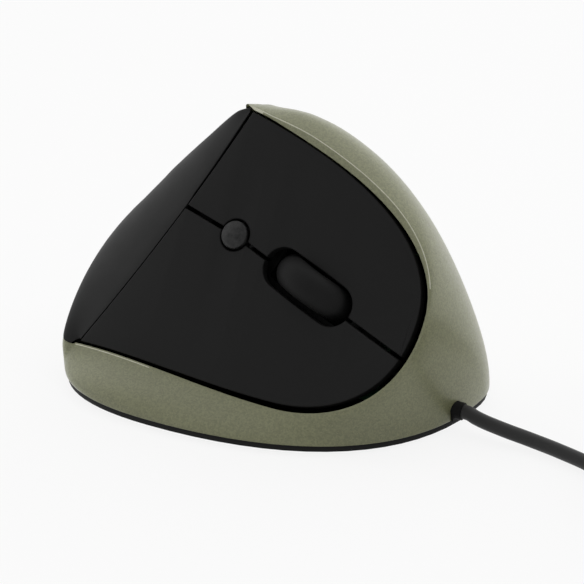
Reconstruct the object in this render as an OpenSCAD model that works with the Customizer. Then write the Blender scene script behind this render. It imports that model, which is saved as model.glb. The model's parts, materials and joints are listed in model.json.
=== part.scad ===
// Vertical ergonomic mouse for the right hand, with a cable
// X runs from the palm end to the nose, Y to the thumb side, Z up from the desk

/* [Body] */
// Length of the body from the palm end to the nose
body_len = 108; // [102:1:115]
// Width of the body across its base skirt
body_w = 79; // [75:1:87]
// Height of the apex where the finger face, the crest and the palm panel meet
apex_h = 68; // [65:1:74]
// Wall of the painted shell and of the palm panel
wall = 2.2; // [1.8:0.1:2.6]
// Seam between two fixed covers
seam = 0.2; // [0.1:0.05:0.4]

/* [Finger face] */
// Lean of the finger face from level
face_tilt = 57.5; // [56:0.5:59]
// Radius of the crown across the keys
crown_r = 260; // [220:10:400]
// Thickness of the two key plates
key_t = 2.4; // [1.8:0.1:2.8]
// Gap between the keys and the covers around them
key_gap = 0.6; // [0.4:0.1:1]
// Extra gap between the keys and the shell at the nose
nose_gap = 1.1; // [0.6:0.1:1.6]
// Gap between the two keys
split_gap = 1; // [0.7:0.1:1.4]
// Width of the bevelled rim of the shell beside the keys
rim_w = 1.6; // [0.8:0.1:2.4]
// Height of that rim over the keys
rim_h = 0.9; // [0.4:0.1:1.4]

/* [Wheel and buttons] */
// Diameter of the scroll wheel over its tyre
wheel_d = 24; // [22:0.5:26]
// Width of the tyre
wheel_w = 8.4; // [7:0.1:9]
// Depth of the wheel axis under the keys
wheel_depth = 7.6; // [7.4:0.1:8.4]
// Gap between the wheel and its slot at the sides
slot_gap = 1.05; // [0.8:0.05:1.4]
// Diameter of the round button between the keys
dpi_d = 7.4; // [6:0.1:8]
// Length of each thumb button
thumb_len = 18; // [15:0.5:20]
// Height of each thumb button
thumb_h = 6.6; // [5.5:0.1:7.5]
// Gap around a sliding button
button_gap = 0.35; // [0.25:0.05:0.5]

/* [Base] */
// Thickness of the base plate
base_t = 2; // [1.6:0.1:2.4]
// Height of the glide feet under the base plate
foot_h = 0.6; // [0.4:0.1:1]

/* [Cable] */
// Diameter of the cable
cable_d = 3.6; // [3:0.1:4]

/* [Hidden] */
$fn = 48;
kx = body_len / 108;
ky = body_w / 79;
apex = [-10.6 * kx, 8.75 * ky, apex_h];
face_low = 8.6;
kv = (apex_h - face_low) / (70.5 * sin(face_tilt));
crown_u = 10 * kx;
base_z = foot_h;
rim_base_h = 1.6;
shell_z = base_z + rim_base_h + 0.1;
axis_pt = [-1, 0];
face_n = [0, -sin(face_tilt), cos(face_tilt)];
face_v = [0, cos(face_tilt), sin(face_tilt)];

// Curves
function unit(p) = p / norm(p);
function mix(a, b, f) = a + (b - a) * f;
function ease(x, a, b) = let (f = min(1, max(0, (x - a) / (b - a)))) f * f * (3 - 2 * f);
function bez(p, t) = p[0] * pow(1 - t, 3) + p[1] * 3 * t * pow(1 - t, 2)
    + p[2] * 3 * t * t * (1 - t) + p[3] * pow(t, 3);
function bez_d(p, t) = (p[1] - p[0]) * pow(1 - t, 2) + (p[2] - p[1]) * 2 * t * (1 - t)
    + (p[3] - p[2]) * t * t;

// Outline of the finger face in its own plane, from the low palm corner round the nose to the apex
face_edges = [
    [[-33, -67.5], [-13, -67], [7, -70.5], [27, -70.5]],
    [[27, -70.5], [46, -70.5], [58, -59], [58, -41]],
    [[58, -41], [58, -18], [26, -7], [0, 0]],
    [[0, 0], [-7.5, -20], [-19, -44], [-33, -67.5]]
];
function on_plane(p) = [p[0] * kx, p[1] * kv];
function face_edge(i, t) = on_plane(bez(face_edges[i], t));
function face_out(i, t) = let (d = on_plane(bez_d(face_edges[i], t))) unit([d[1], -d[0]]);
function crown(u) = sqrt(crown_r * crown_r - (u - crown_u) * (u - crown_u)) - crown_r;
function face_pt(p, w) = apex + [p[0], 0, 0] + face_v * p[1] + face_n * (crown(p[0]) + w);

// Outline of the base, four quarter curves between its widest points
base_ext = [[-50, -8.5], [-13, -39.5], [54.1, 11.4], [-6, 39.5]];
base_full = [[0.7, 0.65], [0.63, 0.65], [0.6, 0.6], [0.6, 0.6]];
function base_quarter(i) =
    let (a = base_ext[i % 4], b = base_ext[(i + 1) % 4], f = base_full[i % 4])
    i % 2 == 0
        ? [a, [a[0], mix(a[1], b[1], f[0])], [mix(b[0], a[0], f[1]), b[1]], b]
        : [a, [mix(a[0], b[0], f[0]), a[1]], [b[0], mix(b[1], a[1], f[1])], b];
function base_at(tau) =
    let (i = floor(tau), p = bez(base_quarter(i), tau - i)) [p[0] * kx, p[1] * ky];
function base_outline() = [for (k = [0:71]) base_at(k / 18)];

// Stations round the shell: low palm corner, low nose, high nose, apex, thumb corner, palm corner
// Each row: place on the base, lean, rise, roll at the rim, turn of the roll off the face
stations = [
    [0.4, -0.46, 0.35, 3, 0.2],
    [1.28, 0.75, 0.3, 3.5, 0.3],
    [2, 0, 0.32, 1.4, -1],
    [3, 0.28, 0.37, 8.3, -0.9],
    [3.3, 0.1, 0.35, 4.2, -0.6],
    [4.4, -0.46, 0.35, 3, 0.2]
];
crest_swell = 16.4;
function knot(i, k) =
    let (turn = k == 0 ? 4 : 0)
    i < 0 ? stations[i + 5][k] - turn : i > 5 ? stations[i - 5][k] + turn : stations[i][k];
function station(g, k) =
    let (i = min(4, floor(g)), f = g - i, a = knot(i, k), b = knot(i + 1, k))
    let (da = (b - knot(i - 1, k)) / 2, db = (knot(i + 2, k) - a) / 2)
    mix(a, b, f * f * (3 - 2 * f)) + da * f * (1 - f) * (1 - f) - db * f * f * (1 - f);
function rim_share(g) = ease(g, 1.95, 2.45) * (1 - ease(g, 2.75, 3));
function rim_edge(g) = let (i = floor(g)) face_edge(i, g - i);
function rim_out(g) = let (i = floor(g)) face_out(i, g - i);
function crest_face(g) =
    let (f = rim_share(g)) face_pt(rim_edge(g) + rim_out(g) * (0.5 + rim_w * f), rim_h * f);
crest_t = crest_face(2.9999);
crest_b = crest_face(0);
thumb_corner = [-35 * kx, 27 * ky, 13];
seam_1 = [crest_t, [-19 * kx, 8 * ky, 0.978 * apex_h], [-21 * kx, 37 * ky, 0.42 * apex_h], thumb_corner];
seam_2 = [thumb_corner, [-46 * kx, 17 * ky, 6], [-56.4 * kx, -30 * ky, 11], crest_b];
function seam_at(f) = f < 0.5 ? bez(seam_1, f * 2) : bez(seam_2, f * 2 - 1);
function crest(g) = g < 3 ? crest_face(g) : seam_at((g - 3) / 2);
function flat_in(p) = unit([axis_pt[0] - p[0], axis_pt[1] - p[1]]);
function inward(p) =
    let (h = flat_in(p), k = 0.6 * ease(p[2], shell_z, shell_z + 10))
    unit([h[0], h[1], -k]);
function roll_face(g) =
    let (e = rim_out(g), m = station(g, 4))
    unit([e[0], 0, 0] + face_v * e[1] + face_n * m);
function roll_seam(g) = let (h = flat_in(crest(g))) unit([-0.3 * h[0], -0.3 * h[1], -1]);
function roll_dir(g) = g < 3 ? roll_face(g) : unit(mix(roll_face(2.9999), roll_seam(g), ease(g, 3, 3.6)));
function roll(g) = station(g, 3) + crest_swell * sin(180 * ease(g, 2.05, 3.44));
function meridian(g) =
    let (c = base_at(station(g, 0)), p0 = [c[0], c[1], shell_z], p3 = crest(g))
    let (h = flat_in(p0), lean = station(g, 1), long = norm(p3 - p0))
    [p0, p0 + unit([h[0] * lean, h[1] * lean, 1]) * long * station(g, 2), p3 + roll_dir(g) * roll(g), p3];
function shell_pt(g, s) = bez(meridian(g), s);

// Lofts between closed sections of the same number of points
function loft_faces(n, m, closed) = [for (i = [0:(closed ? n : n - 1) - 1]) for (j = [0:m - 1])
    let (k = (j + 1) % m, up = ((i + 1) % n) * m, a = i * m + j, b = i * m + k, c = up + k, d = up + j)
    each [[a, b, c], [a, c, d]]];
function cap_faces(at, m, flip) = [for (k = [0:m / 2 - 2])
    let (a = at + k, b = at + k + 1, c = at + m - 2 - k, d = at + m - 1 - k)
    each flip ? [[a, c, b], [a, d, c]] : [[a, b, c], [a, c, d]]];
module loft(sections, closed = false) {
    n = len(sections);
    m = len(sections[0]);
    polyhedron(
        points = [for (s = sections) each s],
        faces = concat(
            loft_faces(n, m, closed),
            closed ? [] : cap_faces(0, m, true),
            closed ? [] : cap_faces((n - 1) * m, m, false)
        ),
        convexity = 6
    );
}

// Section of the shell wall at one place round the body
rows = 11;
in_rows = 9;
function seam_in(g) = unit(mix(-face_n, inward(crest(g)), ease(g, 3, 3.5) * (1 - ease(g, 4.7, 5))));
function shell_section(g) =
    let (
        outer = [for (k = [0:rows]) shell_pt(g, k / rows)],
        inner = [for (k = [in_rows:-1:1]) let (p = shell_pt(g, k / rows)) p + inward(p) * wall],
        foot = let (p = shell_pt(g, 0), h = flat_in(p)) p + [h[0], h[1], 0] * wall,
        tip = g < 3 ? face_pt(rim_edge(g), 0) : crest(g) + seam_in(g) * 0.6,
        lip = g < 3 ? face_pt(rim_edge(g) + rim_out(g) * 0.35, -key_t - 0.2) : crest(g) + seam_in(g) * wall
    )
    concat(outer, [tip, lip], inner, [foot]);
shell_steps = concat(
    [for (k = [0:13]) k / 14],
    [for (k = [0:13]) 1 + k / 14],
    [for (k = [0:19]) 2 + k / 20],
    [for (k = [0:11]) 3 + k / 12],
    [for (k = [0:11]) 4 + k / 12]
);

// Palm panel between the ridge and the seam of the shell
palm_back = 43.6;
palm_side = 23;
function ridge_pt(q) = face_pt(face_edge(3, q), 0);
function palm_swell(q) = sin(180 * pow(q, 1.22));
function palm_curve(q) =
    let (a = ridge_pt(q), b = seam_at(q), f = palm_swell(q))
    [a, a + unit([-0.8, 0.5, 0.11]) * palm_back * f, b + [-1, 0.05, 0] * palm_side * f * (1 - q), b];
function palm_pt(q, r) = bez(palm_curve(q), r);
palm_rows = 10;
palm_steps = concat([0.97], [for (k = [23:-1:1]) k / 24], [0.02]);
function palm_core(q, r) =
    let (a = ridge_pt(q), b = seam_at(q), deep = min(wall, norm(b - a) / 4))
    mix(a - face_n * deep, mix(b, a, 0.08) + seam_in(3 + 2 * q) * deep / 2, r);
function palm_inner(q, r) =
    let (p = palm_pt(q, r), d = palm_core(q, r) - p) p + unit(d) * min(wall, 0.6 * norm(d));
function palm_section(q) =
    let (
        long = norm(seam_at(q) - ridge_pt(q)),
        ends = 1 - min(0.3, 1.5 * seam / long),
        outer = [for (k = [0:palm_rows]) palm_pt(q, ends * k / palm_rows)],
        inner = [for (k = [palm_rows:-1:0]) palm_inner(q, ends * k / palm_rows)]
    )
    concat(outer, inner);

module on_face() translate(apex) rotate([face_tilt, 0, 0]) children();
module crown_slab(top, low)
    translate([crown_u, 0, -crown_r]) rotate([90, 0, 0]) difference() {
        cylinder(r = crown_r + top, h = 300, center = true, $fn = 256);
        cylinder(r = crown_r + low, h = 301, center = true, $fn = 256);
    }

// Split between the keys, the round button and the wheel slot lie on one line
split_pts = [[-40, -19.8], [-10, -27.7], [5, -31.8], [60, -53.2], [90, -65]];
dpi_at = on_plane([5, -31.8]);
wheel_at = on_plane([27.7, -39.5]);
wheel_turn = -atan2(21.4 * kv, 55 * kx);
slot_l = wheel_d + 2.3;
slot_w = wheel_w + 2 * slot_gap;
slot_shift = [0, -0.5];
module stadium(l, w) {
    square([l - w, w], center = true);
    for (s = [-1, 1]) translate([s * (l - w) / 2, 0]) circle(d = w);
}
function nose_share(g) = ease(g, 0, 1.6) * (1 - ease(g, 1.9, 2.8));
function key_edge(i, t) = face_edge(i, t) - face_out(i, t) * nose_gap * nose_share(i + t);
module key_field() offset(delta = -key_gap) polygon([for (i = [0:3]) for (k = [0:19]) key_edge(i, k / 20)]);
module key_side(sign)
    let (p = [for (s = split_pts) on_plane(s) + [0, sign * split_gap / 2]])
    polygon(concat(p, [[p[4][0], sign * 150], [p[0][0], sign * 150]]));
module key_outline(sign)
    difference() {
        intersection() {
            key_field();
            key_side(sign);
        }
        translate(wheel_at) rotate(wheel_turn) translate(slot_shift) stadium(slot_l, slot_w);
        translate(dpi_at) circle(d = dpi_d + 2 * button_gap);
    }
module key_plate(sign)
    intersection() {
        translate([0, 0, -30]) linear_extrude(60) key_outline(sign);
        crown_slab(0, -key_t);
    }

// Sockets and shared shapes
module round_rect(l, w, r) {
    square([l - 2 * r, w], center = true);
    square([l, w - 2 * r], center = true);
    for (a = [-1, 1]) for (b = [-1, 1]) translate([a * (l / 2 - r), b * (w / 2 - r)]) circle(r = r);
}
module block(l, w, h) translate([-l / 2, -w / 2, 0]) cube([l, w, h]);
module switch_case(l, w, h, bore) difference() {
    block(l, w, h);
    translate([0, 0, h - 1.2]) cylinder(d = bore + 0.3, h = 2);
}

// Levels under the finger face, measured along its normal
board_w = -key_t - 10;
board_t = 1.6;
plate_w = board_w - board_t;
plate_t = 2;
micro_h = 6.5;
micro_pin = 0.8;
left_at = on_plane([40, -30]);
right_at = on_plane([32, -58]);
function under_key(p) = crown(p[0]) - key_t;
function yz(v, w) = let (p = apex + face_v * v + face_n * w) [p[1], p[2]];
module at_face(p, w) on_face() translate([p[0], p[1], w]) children();

// Rod that both keys turn on, along the ridge
rod_a = on_plane([0.5, -13]);
rod_b = on_plane([-22.5, -60.5]);
rod_w = -key_t - 4.6;
rod_d = 2;
rod_fit = 0.05;
rod_len = norm(rod_b - rod_a);
module on_rod(a) on_face() translate([rod_a[0], rod_a[1], rod_w])
    rotate(atan2(rod_b[1] - rod_a[1], rod_b[0] - rod_a[0])) translate([a, 0, 0]) children();
function rod_pt(a) = mix(rod_a, rod_b, a / rod_len);
lug_t = 2.4;
left_lugs = [4, 12];
right_lugs = [0.38 * rod_len, 0.87 * rod_len];
posts = [0.6, 0.31 * rod_len, 0.94 * rod_len];
module key_lug(a) on_rod(a) difference() {
    union() {
        rotate([0, 90, 0]) cylinder(d = 4.4, h = lug_t);
        translate([0, -2.2, 0]) cube([lug_t, 4.4, crown(rod_pt(a)[0]) - key_t / 2 - rod_w]);
    }
    translate([-1, 0, 0]) rotate([0, 90, 0]) cylinder(d = rod_d + 2 * rod_fit, h = lug_t + 2);
}
module key(sign, lugs, at) {
    on_face() key_plate(sign);
    for (a = lugs) key_lug(a);
    let (low = board_w + micro_h + micro_pin) at_face(at, low) block(4, 3, under_key(at) + key_t / 2 - low);
}

// Wheel frame: x along the fingers, y along the axle
wheel_w0 = crown(wheel_at[0]) - wheel_depth;
module on_wheel() on_face() translate([wheel_at[0], wheel_at[1], wheel_w0]) rotate(wheel_turn) children();
hub_d = wheel_d - 6;
tyre_r = 4.8;
axle_d = 2.4;
yoke_in = wheel_w / 2 + 0.5;
yoke_t = 1.6;
yoke_out = yoke_in + yoke_t;
yoke_x = wheel_d / 2 + 0.8;
bar_t = 2.2;
pivot_x = -yoke_x - bar_t / 2;
click_x = yoke_x + bar_t + 2.6;
enc_t = 3.6;
module on_axle() rotate([90, 0, 0]) children();
module yoke_zone() translate([pivot_x - 4, -yoke_out - 3.2])
    square([yoke_x + 5 - pivot_x, 2 * (yoke_out + 3.2)]);
tact_h = board_w + 3.5;

// Desk side levels
floor_z = base_z + base_t;
main_z = 7.2;
main_t = 1.6;
main_l = 44 * min(1, kx);
main_w = 30;
main_gap = 3;
socket_l = 5;
socket_w = 11;
socket_h = 4.4;
function under_plate(z) =
    let (w = plate_w - plate_t, v = (z - apex_h - w * cos(face_tilt)) / sin(face_tilt))
    apex[1] + v * cos(face_tilt) - w * sin(face_tilt);
main_at = [8 * kx, under_plate(main_z + main_t) + main_gap + main_w / 2];
sensor_at = main_at + [-2, 1];
socket_at = [
    main_at[0] + main_l / 2 - socket_l / 2 - 3.5,
    under_plate(main_z + main_t + socket_h) + 1 + socket_w / 2,
    main_z + main_t
];
gusset_t = 2.4;
gusset_x = [apex[0] - 9.5 * kx, apex[0] + 43 * kx];
screw_y = [-5.2, 4.5];
screw_d = 2;
gland_at = [base_at(1.87)[0], base_at(1.87)[1], 4.5];
gland_r = 2.2;
gland_out = 1.6;
lead_y = mix(gland_at[1], socket_at[1], 0.6);
feet = [
    [42 * kx, -10 * ky, 62], [37 * kx, 22 * ky, -62], [-36 * kx, -24 * ky, -62], [-34 * kx, 20 * ky, 62]
];
posts_at = [for (a = [-1, 1]) for (b = [-1, 1]) main_at + [a * (main_l / 2 - 3), b * (main_w / 2 - 3)]];

// Thumb frame on the outer face of the shell
thumb_g = 2.76;
thumb_s = 0.5;
thumb_o = shell_pt(thumb_g, thumb_s);
thumb_d = shell_pt(thumb_g - 0.06, thumb_s) - shell_pt(thumb_g + 0.06, thumb_s);
thumb_e = shell_pt(thumb_g, thumb_s + 0.06) - shell_pt(thumb_g, thumb_s - 0.06);
thumb_z = unit(cross(thumb_e, thumb_d));
thumb_x = unit(thumb_d);
thumb_y = cross(thumb_z, thumb_x);
module on_thumb() multmatrix([for (i = [0:2]) [thumb_x[i], thumb_y[i], thumb_z[i], thumb_o[i]]]) children();
thumb_step = thumb_len / 2 + 0.5;
thumb_deep = -4;
cap_out = 1;
cap_r = 14;
forward_bow = 58;
back_bow = 72;
thumb_tact = thumb_deep - 5;
thumb_board_t = 1.2;
thumb_back = thumb_tact - thumb_board_t;
function thumb_pt(a, b, c) = thumb_o + thumb_x * a + thumb_y * b + thumb_z * c;

module outer_shell() color([0.5, 0.5, 0.41]) difference() {
    loft([for (g = shell_steps) shell_section(g)], true);
    translate(gland_at - [8, 0, 0]) rotate([0, 90, 0]) cylinder(r = gland_r + 0.1, h = 16);
    translate([gland_at[0] - 8, gland_at[1] - gland_r - 0.1, 0]) cube([16, 2 * gland_r + 0.2, gland_at[2]]);
    on_thumb() translate([0, 0, -8]) linear_extrude(16) for (s = [-1, 1]) translate([s * thumb_step, 0])
        stadium(thumb_len + 2 * button_gap, thumb_h + 2 * button_gap);
}
module palm_panel() color([0.16, 0.16, 0.16])
    loft([for (q = palm_steps) palm_section(q)]);
module left_key() color([0.12, 0.12, 0.12]) key(1, left_lugs, left_at);
module right_key() color([0.12, 0.12, 0.12]) key(-1, right_lugs, right_at);
module key_rod() color([0.7, 0.7, 0.7]) on_rod(0) rotate([0, 90, 0]) cylinder(d = rod_d, h = rod_len);

module base_plate() color([0.1, 0.1, 0.1]) difference() {
    union() {
        translate([0, 0, base_z]) linear_extrude(rim_base_h) offset(delta = -0.5) polygon(base_outline());
        translate([0, 0, base_z]) linear_extrude(base_t) offset(delta = -wall - 1.2) polygon(base_outline());
        translate([0, 0, base_z]) linear_extrude(base_t + 1.6) difference() {
            offset(delta = -7.4) polygon(base_outline());
            offset(delta = -8.8) polygon(base_outline());
        }
        for (p = posts_at) translate([p[0], p[1], base_z]) cylinder(d = 4.4, h = main_z - base_z);
    }
    translate([gland_at[0] - 14, gland_at[1] - 5, base_z + rim_base_h]) cube([12, 10, 6]);
    translate([sensor_at[0], sensor_at[1], 0]) block(9, 7, 6);
    for (x = gusset_x) for (y = screw_y) translate([x + gusset_t / 2, y, 0]) {
        cylinder(d = screw_d + 0.3, h = 6);
        cylinder(d = 4.4, h = base_z + 1.2);
    }
    for (f = feet) translate([f[0], f[1], 0]) rotate(f[2]) linear_extrude(base_z + 0.4) stadium(18.4, 8.4);
    for (k = [0, 3]) translate([posts_at[k][0], posts_at[k][1], main_z - 4]) cylinder(d = 1.7, h = 6);
}
module glide_feet() color([0.2, 0.2, 0.2])
    for (f = feet) translate([f[0], f[1], 0]) rotate(f[2]) linear_extrude(base_z + 0.4) stadium(18, 8);
module housing_screws() color([0.7, 0.7, 0.7])
    for (x = gusset_x) for (y = screw_y) translate([x + gusset_t / 2, y, 0]) difference() {
        union() {
            translate([0, 0, base_z + 0.1]) cylinder(d = 4, h = 1.1);
            translate([0, 0, base_z + 0.1]) cylinder(d = screw_d, h = 6);
        }
        translate([0, 0, base_z]) block(2.4, 0.5, 0.6);
        translate([0, 0, base_z]) block(0.5, 2.4, 0.6);
    }

module button_frame() color([0.3, 0.3, 0.3]) difference() {
    union() {
        on_face() translate([0, 0, plate_w - plate_t]) linear_extrude(plate_t)
            polygon([for (p = [[-11, -24.5], [46, -24.5], [46, -62], [-28, -62]]) on_plane(p)]);
        for (x = gusset_x) translate([x, 0, 0]) rotate([90, 0, 90]) linear_extrude(gusset_t)
            let (low = yz(-61.5 * kv, plate_w - 1), high = yz(-28 * kv, plate_w - 1))
            polygon([[low[0], floor_z], [high[0], floor_z], high, low]);
        for (x = gusset_x) for (y = screw_y) translate([x + gusset_t / 2, y, floor_z + 0.1])
            cylinder(d = 6, h = 5.2);
        on_rod(0) translate([0, -2, -4.6]) cube([rod_len, 4, 2]);
        for (a = posts) on_rod(a) translate([0, -2, -4.6]) cube([lug_t, 4, 6.4]);
        for (a = [posts[1], posts[2]]) on_rod(a) translate([0, -2, plate_w - 1 - rod_w])
            cube([lug_t, 4, rod_w - plate_w - 3]);
        on_wheel() for (s = [-1, 1])
            translate([pivot_x - 2, s * (yoke_out + 1.3) - 1, plate_w - 1 - wheel_w0])
            cube([4, 2, 3 + wheel_w0 - plate_w]);
        on_thumb() translate([-19, -5, thumb_back - 2]) cube([36, 12, 2]);
        for (a = [-8, 8])
            let (
                p = thumb_pt(a, -4, thumb_back - 1),
                q = thumb_pt(a, 6, thumb_back - 1),
                low = yz(-29.5 * kv, plate_w - 1),
                high = yz(-25 * kv, plate_w - 1)
            )
            translate([p[0] - 1.2, 0, 0]) rotate([90, 0, 90]) linear_extrude(gusset_t)
                polygon([high, low, [q[1], q[2]], [p[1], p[2]]]);
    }
    on_rod(-1) rotate([0, 90, 0]) cylinder(d = rod_d + 2 * rod_fit, h = rod_len + 2);
    on_wheel() translate([0, 0, plate_w - plate_t - 1 - wheel_w0]) linear_extrude(plate_t + 2)
        square([wheel_d + 2, wheel_w + 2], center = true);
    on_wheel() translate([pivot_x, 0, 0]) on_axle() cylinder(d = 2 + 2 * rod_fit, h = 40, center = true);
    for (x = gusset_x) for (y = screw_y) translate([x + gusset_t / 2, y, 0])
        cylinder(d = screw_d + 0.1, h = floor_z + 5);
    translate([gusset_x[1] - 1, lead_y - 3.5, 5]) cube([gusset_t + 2, 7, 9]);
}
module button_board() color([0.1, 0.35, 0.2]) at_face([0, 0], plate_w) linear_extrude(board_t)
    difference() {
        polygon([for (p = [[-3, -25], [48, -25], [48, -62.5], [-3, -62.5]]) on_plane(p)]);
        translate(wheel_at) rotate(wheel_turn) yoke_zone();
    }
module micro_switch(at) at_face(at, board_w) switch_case(12.8, 5.8, micro_h, 2.2);
module micro_plunger(at) at_face(at, board_w + micro_h - 0.3) cylinder(d = 2.2, h = micro_pin + 0.3);
module left_switch() color([0.15, 0.15, 0.15]) micro_switch(left_at);
module right_switch() color([0.15, 0.15, 0.15]) micro_switch(right_at);
module left_plunger() color([0.85, 0.85, 0.85]) micro_plunger(left_at);
module right_plunger() color([0.85, 0.85, 0.85]) micro_plunger(right_at);

module wheel_tyre() color([0.08, 0.08, 0.08]) on_wheel() on_axle() rotate_extrude($fn = 96) intersection() {
    translate([hub_d / 2, -wheel_w / 2]) square([wheel_d, wheel_w]);
    translate([wheel_d / 2 - tyre_r, 0]) circle(r = tyre_r);
}
module wheel_hub() color([0.2, 0.2, 0.2]) on_wheel() on_axle() {
    cylinder(d = hub_d, h = wheel_w - 1.6, center = true);
    translate([0, 0, -yoke_out - 0.4]) cylinder(d = axle_d, h = 2 * yoke_out + 0.8 + enc_t);
}
module wheel_cradle() color([0.25, 0.25, 0.25]) on_wheel() difference() {
    union() {
        translate([0, 0, -2]) linear_extrude(4) difference() {
            square([2 * (yoke_x + bar_t), 2 * yoke_out], center = true);
            square([2 * yoke_x, 2 * yoke_in], center = true);
        }
        translate([yoke_x, -2.5, -2]) cube([bar_t + 5, 5, 2]);
        translate([pivot_x, 0, 0]) on_axle() cylinder(d = 2, h = 2 * yoke_out + 4.4, center = true);
    }
    on_axle() cylinder(d = axle_d + 2 * rod_fit, h = 40, center = true);
}
module wheel_encoder() color([0.15, 0.3, 0.15]) on_wheel() difference() {
    translate([-4.6, -yoke_out - enc_t, -2.8]) cube([9.2, enc_t, 5.6]);
    on_axle() cylinder(d = axle_d + 2 * rod_fit, h = 40, center = true);
}
module click_switch() color([0.2, 0.2, 0.2]) on_wheel() translate([click_x, 0, board_w - wheel_w0])
    switch_case(4.5, 4.5, wheel_w0 - 2.6 - board_w, 2);
module click_plunger() color([0.85, 0.85, 0.85])
    on_wheel() translate([click_x, 0, -2.9]) cylinder(d = 2, h = 0.9);

dpi_w = crown(dpi_at[0]);
module dpi_button() color([0.22, 0.22, 0.22]) at_face(dpi_at, dpi_w) {
    intersection() {
        translate([0, 0, -key_t - 1.6]) cylinder(d = dpi_d, h = 6);
        translate([0, 0, 1.3 - 9]) sphere(r = 9, $fn = 96);
    }
    translate([0, 0, -key_t - 1.8]) cylinder(d = dpi_d + 1.8, h = 1);
    translate([0, 0, tact_h + 1.5 - dpi_w]) cylinder(d = 4, h = dpi_w - tact_h - 2.5);
}
module dpi_guide() color([0.3, 0.3, 0.3]) at_face(dpi_at, board_w) difference() {
    block(9.6, 9.6, 7);
    translate([0, 0, -1]) block(6.4, 6.4, 5.2);
    cylinder(d = 4.3, h = 12);
}
module dpi_switch() color([0.2, 0.2, 0.2]) at_face(dpi_at, board_w) switch_case(6, 6, 3.5, 3.2);
module dpi_plunger() color([0.85, 0.85, 0.85]) at_face(dpi_at, tact_h - 0.4) cylinder(d = 3.2, h = 1.9);

module thumb_cap(s, bow) on_thumb() intersection() {
    translate([s * thumb_step, 0, thumb_deep]) linear_extrude(10) stadium(thumb_len, thumb_h);
    translate([0, 0, cap_out - bow]) rotate([90, 0, 0]) rotate_extrude($fn = 256) intersection() {
        translate([bow - cap_r, 0]) circle(r = cap_r, $fn = 128);
        translate([0, -thumb_h]) square([bow + 1, 2 * thumb_h]);
    }
}
module forward_button() color([0.12, 0.12, 0.12]) thumb_cap(1, forward_bow);
module back_button() color([0.12, 0.12, 0.12]) thumb_cap(-1, back_bow);
module thumb_board() color([0.1, 0.35, 0.2])
    on_thumb() translate([0, 0, thumb_back]) block(2 * thumb_len + 2, thumb_h + 2.4, thumb_board_t);
module thumb_switches() color([0.2, 0.2, 0.2]) on_thumb() for (s = [-1, 1])
    translate([s * thumb_step, 0, thumb_tact]) switch_case(6, 6, 3.5, 3.2);
module thumb_plunger(s)
    on_thumb() translate([s * thumb_step, 0, thumb_tact + 3.1]) cylinder(d = 3.2, h = 1.9);
module forward_plunger() color([0.85, 0.85, 0.85]) thumb_plunger(1);
module back_plunger() color([0.85, 0.85, 0.85]) thumb_plunger(-1);

module main_board() color([0.1, 0.35, 0.2]) difference() {
    translate([main_at[0], main_at[1], main_z]) block(main_l, main_w, main_t);
    translate([sensor_at[0], sensor_at[1], main_z - 1]) block(5.4, 5.4, 4);
    for (p = posts_at) translate([p[0], p[1], main_z - 1]) cylinder(d = 2.2, h = 4);
}
module board_screws() color([0.7, 0.7, 0.7]) for (k = [0, 3])
    translate([posts_at[k][0], posts_at[k][1], main_z + main_t]) {
        cylinder(d = 3.6, h = 1.2);
        translate([0, 0, -4.6]) cylinder(d = 1.6, h = 5);
    }
module sensor_lens() color([0.8, 0.85, 0.9]) translate([sensor_at[0], sensor_at[1], 0]) {
    translate([0, 0, floor_z]) block(17, 11, 1);
    translate([0, 0, base_z + 0.5]) block(8.6, 6.6, base_t);
    translate([0, 0, floor_z]) block(5, 5, main_z + 0.6 - floor_z);
}
module sensor_chip() color([0.08, 0.08, 0.08]) translate([sensor_at[0], sensor_at[1], main_z + main_t]) {
    block(12.4, 9, 2.6);
    for (s = [-1, 1]) for (k = [-2.5:2.5]) translate([k * 2, s * 4.9, 0]) block(0.6, 1, 1.4);
}
module sensor_led() color([0.9, 0.3, 0.25]) translate([sensor_at[0] + 11, sensor_at[1], main_z + main_t]) {
    cylinder(d = 3.6, h = 0.8);
    cylinder(d = 3, h = 3);
    translate([0, 0, 3]) sphere(d = 3);
}
module control_chip() color([0.08, 0.08, 0.08])
    translate([main_at[0] - main_l / 2 + 7.2, main_at[1] + 2, main_z + main_t]) block(7, 10, 1.4);
module cable_socket() color([0.9, 0.9, 0.85]) translate(socket_at) block(socket_l, socket_w, socket_h);

// Cable: grommet, inner lead, free stretch, coil with its tie, tail and plug
function spline(p, i, t) =
    let (a = p[max(0, i - 1)], b = p[i], c = p[i + 1], d = p[min(len(p) - 1, i + 2)])
    0.5 * (2 * b + (c - a) * t + (2 * a - 5 * b + 4 * c - d) * t * t + (3 * b - a - 3 * c + d) * t * t * t);
function route(p, n) =
    concat([for (i = [0:len(p) - 2]) for (k = [0:n - 1]) spline(p, i, k / n)], [p[len(p) - 1]]);
function tube_ring(p, i, r, n) =
    let (d = unit(p[min(len(p) - 1, i + 1)] - p[max(0, i - 1)]))
    let (e = unit(cross(d, [0, 0, 1])), f = cross(e, d))
    [for (k = [0:n - 1]) p[i] + r * (e * cos(360 * (k + 0.5) / n) + f * sin(360 * (k + 0.5) / n))];
module tube(p, d, n) loft([for (i = [0:len(p) - 1]) tube_ring(p, i, d / 2, n)]);
desk_z = cable_d / 2 + 0.1;
cable_from = gland_at + [gland_out, 0, 0];
tie_t = 0.8;
coil_at = [121 * kx, 8];
coil_r = 25;
coil_pitch = cable_d + 1.2;
coil_rise = cable_d + 0.5;
coil_turns = 11.25;
coil_layers = 4;
layer_turns = (coil_turns - 0.5 * (coil_layers - 1)) / coil_layers;
coil_z = cable_d / 2 + tie_t + 0.15;
coil_steps = round(coil_turns * 24);
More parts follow.
